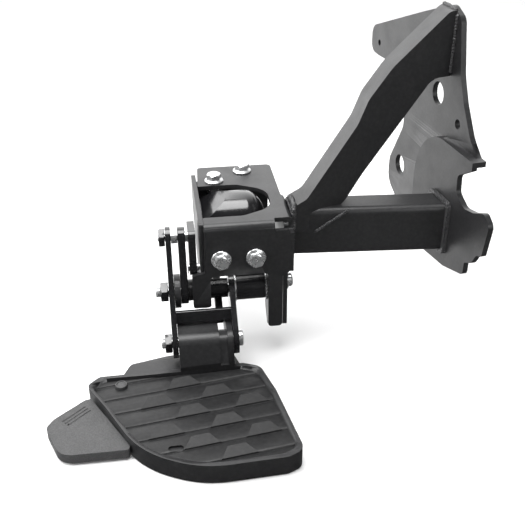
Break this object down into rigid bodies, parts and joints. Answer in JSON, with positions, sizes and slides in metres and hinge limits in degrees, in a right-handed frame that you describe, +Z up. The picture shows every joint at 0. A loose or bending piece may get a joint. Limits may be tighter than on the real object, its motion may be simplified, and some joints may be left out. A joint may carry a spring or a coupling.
{
  "type": "tailgate step",
  "caption": "Swing-down foot step for a truck tailgate: a ribbed pad on a spring-loaded arm, carried by a bracket whose tubes bolt to the vehicle frame.",
  "frame": {"origin": "the frame mount: a point on the outer flat face of the frame plate that bolts to the vehicle's frame rail", "axes": "+X out of the frame plate towards the rail it bolts to; +Y towards the front of the vehicle; +Z up"},
  "size_m": [0.4717, 0.4361, 0.3691],
  "materials": {
    "powder": "satin",
    "gloss": "gloss",
    "zinc": "satin",
    "rubber": "matte",
    "plastic": "matte"
  },
  "bodies": {
    "bracket": {"anchor_plate": "gloss", "bracket_cover": "powder", "cover_front_bolt_1": "zinc", "cover_front_bolt_2": "zinc", "cover_top_bolt_1": "zinc", "cover_top_bolt_2": "zinc", "diagonal_brace_tube": "powder", "frame_plate": "powder", "housing_back_plate": "powder", "left_cheek_plate": "powder", "link_pin_upper": "zinc", "link_spacer": "zinc", "lower_support_tube": "powder", "main_pivot_bolt": "zinc", "main_pivot_nut": "zinc", "pivot_sleeve_left": "powder", "pivot_sleeve_right": "powder", "pivot_washer_inner": "zinc", "pivot_washer_outer": "zinc", "right_cheek_plate": "powder", "right_leg_web": "powder", "side_bolt": "zinc", "spring_drum": "gloss", "stop_screw": "zinc", "tube_end_weld": "powder", "weld_nut_front_3": "zinc", "weld_nut_front_4": "zinc", "weld_nut_top_1": "zinc", "weld_nut_top_2": "zinc"},
    "swing_arm": {"arm_boss": "powder", "arm_lever_plate": "gloss", "arm_spacer": "powder", "arm_washer": "zinc", "lever_stud": "zinc", "lever_stud_nut": "zinc", "pad_pivot_bolt": "zinc", "pad_pivot_nut": "zinc", "swing_arm": "gloss"},
    "level_link": {"level_link": "powder"},
    "step_pad": {"kick_tab": "plastic", "link_pin_lower": "zinc", "step_pad": "powder", "tread_insert": "rubber", "tread_plug": "plastic"}
  },
  "joints": [
    {"name": "arm_swing", "type": "hinge", "parent": "bracket", "child": "swing_arm", "pos_m": [-0.28327, -0.07103, -0.149], "axis": [0.9903, -0.1392, 0], "range_deg": [0, 108]},
    {"name": "pad_level", "type": "hinge", "parent": "swing_arm", "child": "step_pad", "pos_m": [-0.28912, -0.11262, -0.189], "axis": [0.9903, -0.1392, 0], "range_deg": [-108, 0]},
    {"name": "link_swing", "type": "hinge", "parent": "bracket", "child": "level_link", "pos_m": [-0.27854, -0.03736, -0.143], "axis": [0.9903, -0.1392, 0], "range_deg": [0, 108]}
  ],
  "couplings": [
    {"joint": "pad_level", "follows": "arm_swing", "ratio": -1},
    {"joint": "link_swing", "follows": "arm_swing", "ratio": 1}
  ]
}
